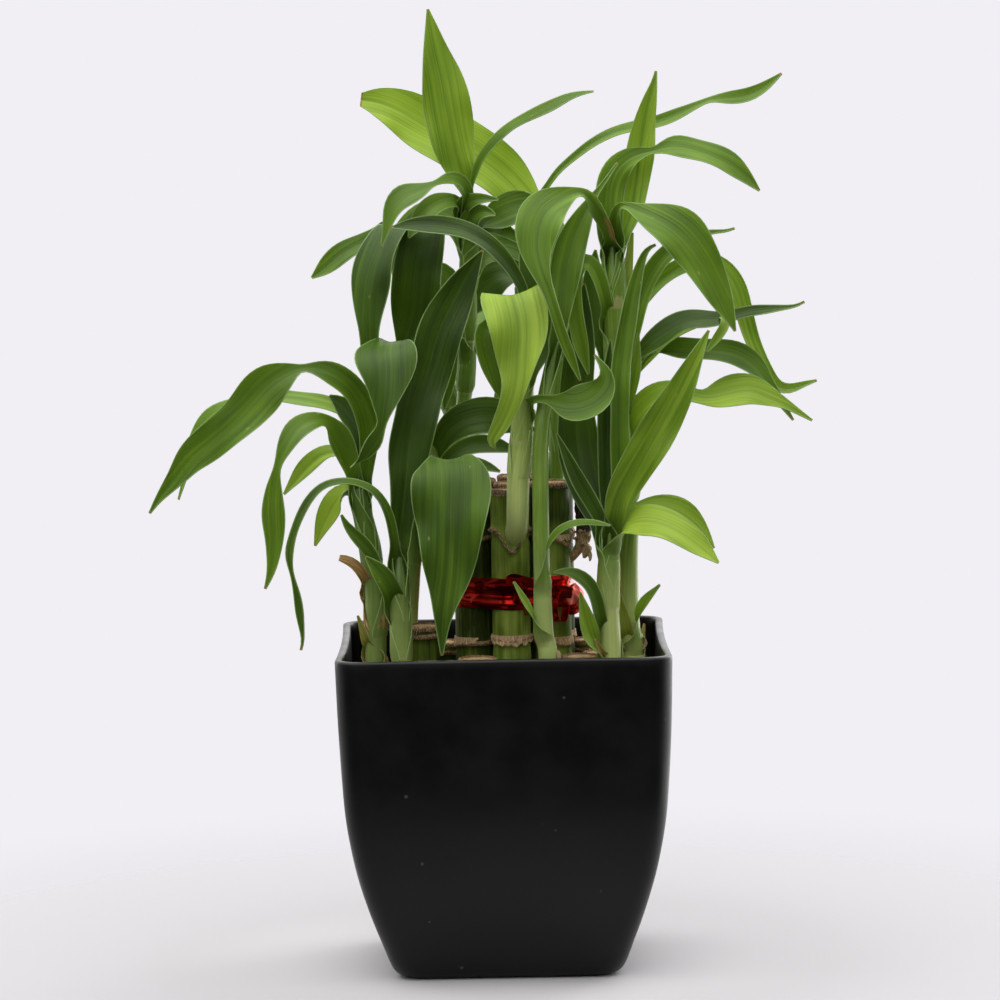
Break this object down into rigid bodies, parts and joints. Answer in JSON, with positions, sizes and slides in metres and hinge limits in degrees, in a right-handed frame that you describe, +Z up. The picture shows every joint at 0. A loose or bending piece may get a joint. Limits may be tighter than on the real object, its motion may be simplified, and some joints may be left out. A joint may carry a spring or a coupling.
{
  "type": "potted lucky bamboo",
  "caption": "Leafy shoots growing from a foil-tied bundle of upright bamboo-like canes in a tapered square plastic pot.",
  "frame": {"origin": "centre of the pot's underside, where it rests", "axes": "+Z up along the canes; +X to the right of someone looking at the front; -Y towards that viewer"},
  "size_m": [0.2224, 0.1301, 0.3186],
  "materials": {
    "pot_plastic": "satin black, moulded",
    "soil": "rough, dark and crumbly growing medium",
    "cane": "smooth green stalk with tan node rings",
    "foil": "crinkled glossy red metallic foil",
    "dry_stalk": "rough and withered",
    "leaf": "satin green leaf with fine lengthwise veins"
  },
  "bodies": {
    "root": {"pot": "pot_plastic", "soil": "soil", "cane_tall_1": "cane", "cane_tall_2": "cane", "cane_tall_3": "cane", "cane_tall_4": "cane", "cane_tall_5": "cane", "cane_tall_6": "cane", "cane_tall_7": "cane", "cane_short_1": "cane", "cane_short_2": "cane", "cane_short_3": "cane", "cane_short_4": "cane", "cane_short_5": "cane", "cane_short_6": "cane", "cane_short_7": "cane", "cane_short_8": "cane", "cane_short_9": "cane", "ribbon": "foil", "dead_stub": "dry_stalk", "shoot_left_outer": "leaf", "shoot_left_inner": "leaf", "shoot_left_back": "leaf", "shoot_left_tall": "leaf", "shoot_centre_back": "leaf", "shoot_back_centre": "leaf", "shoot_centre_front": "leaf", "shoot_centre_slender": "leaf", "shoot_right_front": "leaf", "shoot_right_tall": "leaf", "shoot_back_left": "leaf", "shoot_back_right": "leaf"}
  },
  "joints": []
}
